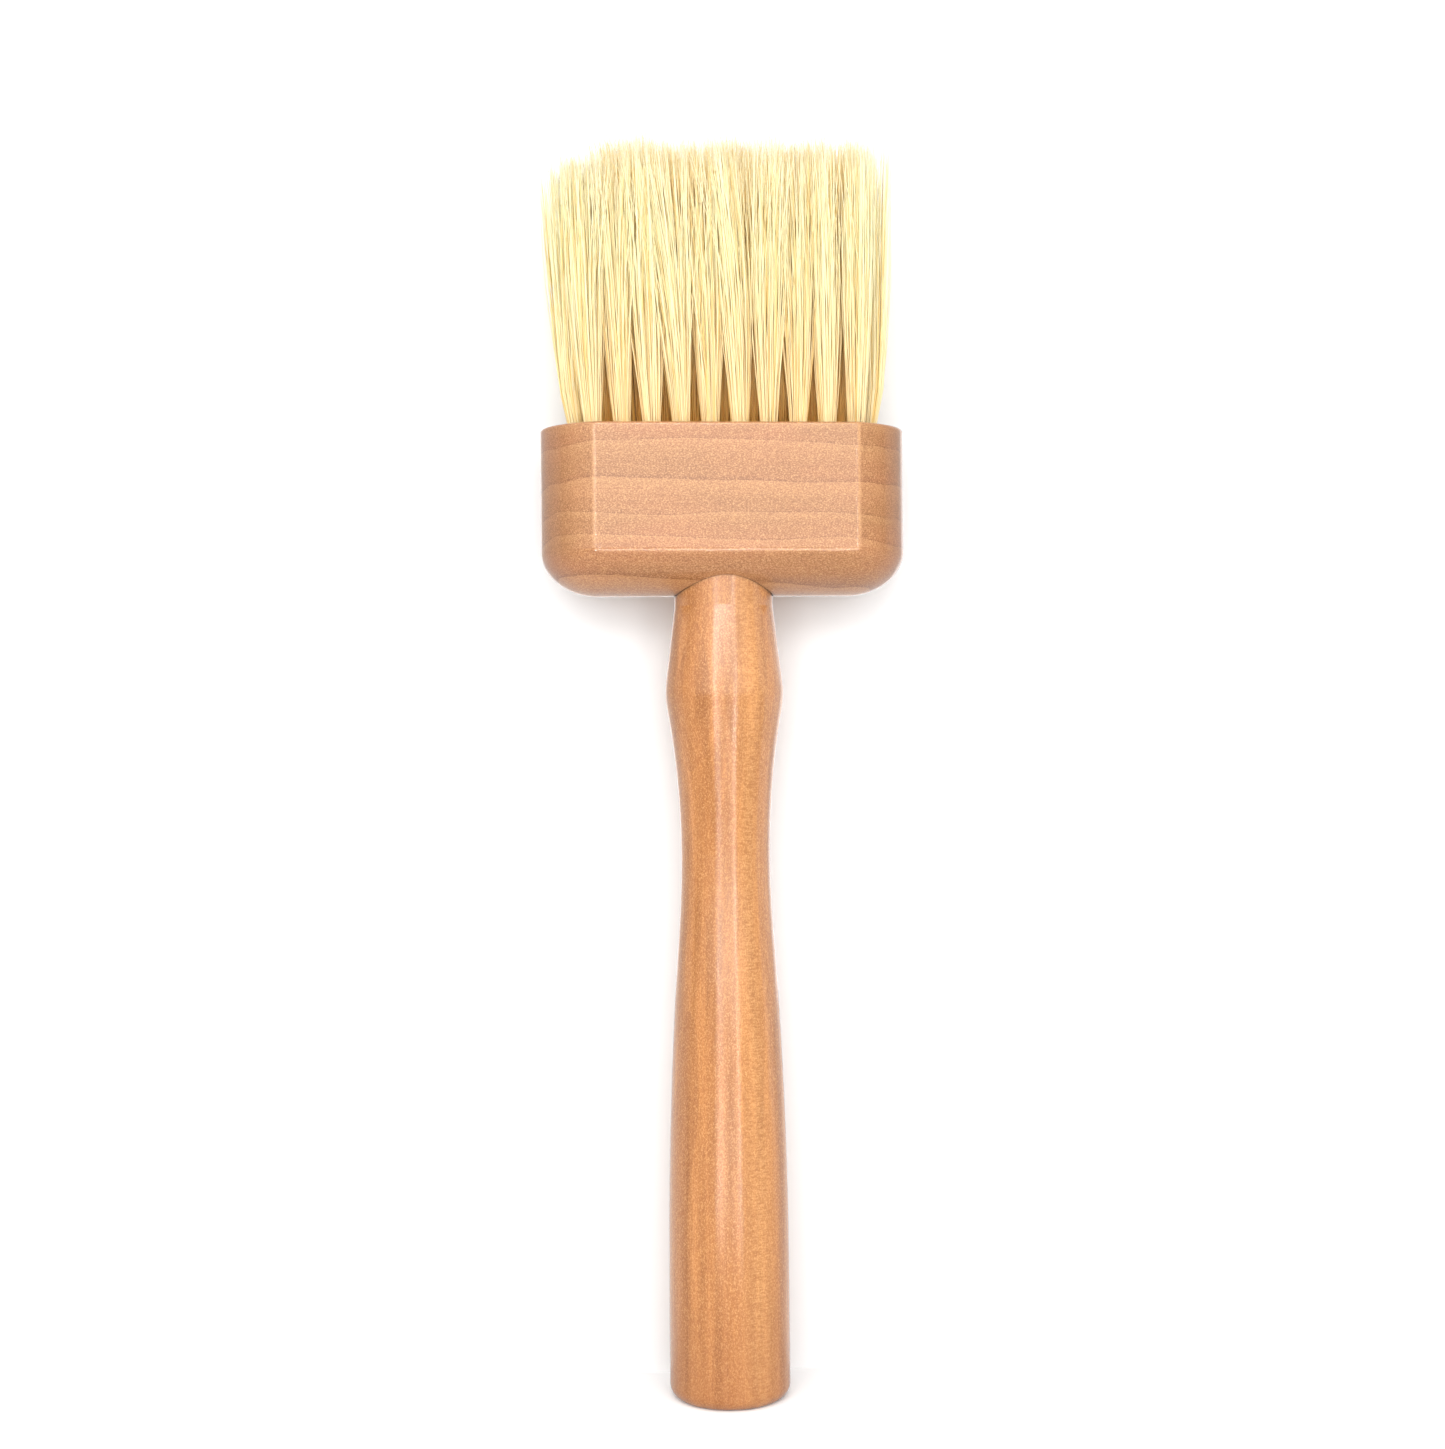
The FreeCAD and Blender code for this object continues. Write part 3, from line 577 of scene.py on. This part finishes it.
def area_light(name, place, target, width, height, watts):
    """A soft rectangular lamp whose width runs as nearly level along X as it can."""
    data = bpy.data.lights.new(name, "AREA")
    data.shape = "RECTANGLE"
    data.size = width
    data.size_y = height
    data.energy = watts
    level = Vector((1, 0, 0))
    away = (Vector(place) - Vector(target)).normalized()
    across = (level - away * away.dot(level)).normalized()
    axes = Matrix((across, away.cross(across), away)).transposed()
    light = bpy.data.objects.new(name, data)
    light.matrix_world = Matrix.Translation(place) @ axes.to_4x4()
    light.visible_camera = False
    bpy.context.scene.collection.objects.link(light)
    return light


def only(piece):
    """A collection for light linking that holds only this object."""
    group = bpy.data.collections.new(f"only_{piece.name}")
    group.objects.link(piece)
    return group


def all_but(piece):
    """A collection for light linking that leaves out only this object."""
    group = bpy.data.collections.new(f"all_but_{piece.name}")
    group.objects.link(piece)
    group.collection_objects[0].light_linking.link_state = "EXCLUDE"
    return group


bpy.context.scene.world = studio_world()
all_but_floor = all_but(floor)

# The highlights on the lacquer: a window on each side of the camera, a fainter one between them and one
# above. They reach below the floor, which lets their light through, so the highlights run down the whole
# handle.
windows = [
    area_light("left_window", (-0.17, -0.42, 0.110), (0, 0, 0.110), width=0.10, height=0.36, watts=0.25),
    area_light("right_window", (0.14, -0.42, 0.110), (0, 0, 0.110), width=0.045, height=0.36, watts=0.22),
    area_light("centre_window", (-0.015, -0.43, 0.055), (0, 0, 0.055), width=0.31, height=0.25, watts=0.30),
    area_light("upper_window", (-0.05, -0.42, 0.33), (0, 0, 0.15), width=0.30, height=0.12, watts=0.60),
]
for window in windows:
    window.light_linking.blocker_collection = all_but_floor
    window.data.cycles.use_multiple_importance_sampling = False

# A low light that only the head takes, for the bright line along the lower edge of its panel.
low_strip = area_light("low_strip", (0.04, -0.42, 0.035), (0, 0, 0.16), width=0.40, height=0.04, watts=0.34)
low_strip.light_linking.receiver_collection = only(nodes["head_block"])

# A lamp on the brush's right that only the handle takes, for the sheen along its right edge.
right_lamp = area_light("right_lamp", (0.30, 0.07, 0.20), (0, 0, 0.14), width=0.36, height=0.30, watts=0.26)
right_lamp.light_linking.receiver_collection = only(nodes["handle"])

# A soft light on the back, which the floor doesn't take, so that it throws no shadow forwards.
back_light = area_light("back_light", (0.10, 0.60, 0.25), (0, 0, 0.12), width=0.80, height=0.60, watts=2.2)
back_light.light_linking.receiver_collection = all_but_floor


# ---------------------------------------------------------------------------------------------------------
# Camera
# ---------------------------------------------------------------------------------------------------------
CAMERA_DISTANCE = 395.7 * MM
CAMERA_LEFT = math.radians(4.0)
CAMERA_ROLL = math.radians(0.5)
CAMERA_AIM = Vector((-0.40 * MM, 0, 129.3 * MM))
SENSOR_WIDTH_MM = 36
LENS_MM = 50.9

camera_data = bpy.data.cameras.new("camera")
camera_data.sensor_width = SENSOR_WIDTH_MM
camera_data.lens = LENS_MM
camera_data.clip_start = 10 * MM
camera = bpy.data.objects.new("camera", camera_data)
back = Vector((-math.sin(CAMERA_LEFT), -math.cos(CAMERA_LEFT), 0))
level_turn = (-back).to_track_quat("-Z", "Y").to_matrix().to_4x4()
roll_turn = Matrix.Rotation(-CAMERA_ROLL, 4, "Z")
camera.matrix_world = Matrix.Translation(CAMERA_AIM + back * CAMERA_DISTANCE) @ level_turn @ roll_turn
bpy.context.scene.collection.objects.link(camera)
bpy.context.scene.camera = camera
bpy.context.scene.view_settings.view_transform = "Standard"
bpy.context.scene.cycles.max_bounces = 12
bpy.context.scene.cycles.diffuse_bounces = 8
bpy.context.scene.cycles.transmission_bounces = 8
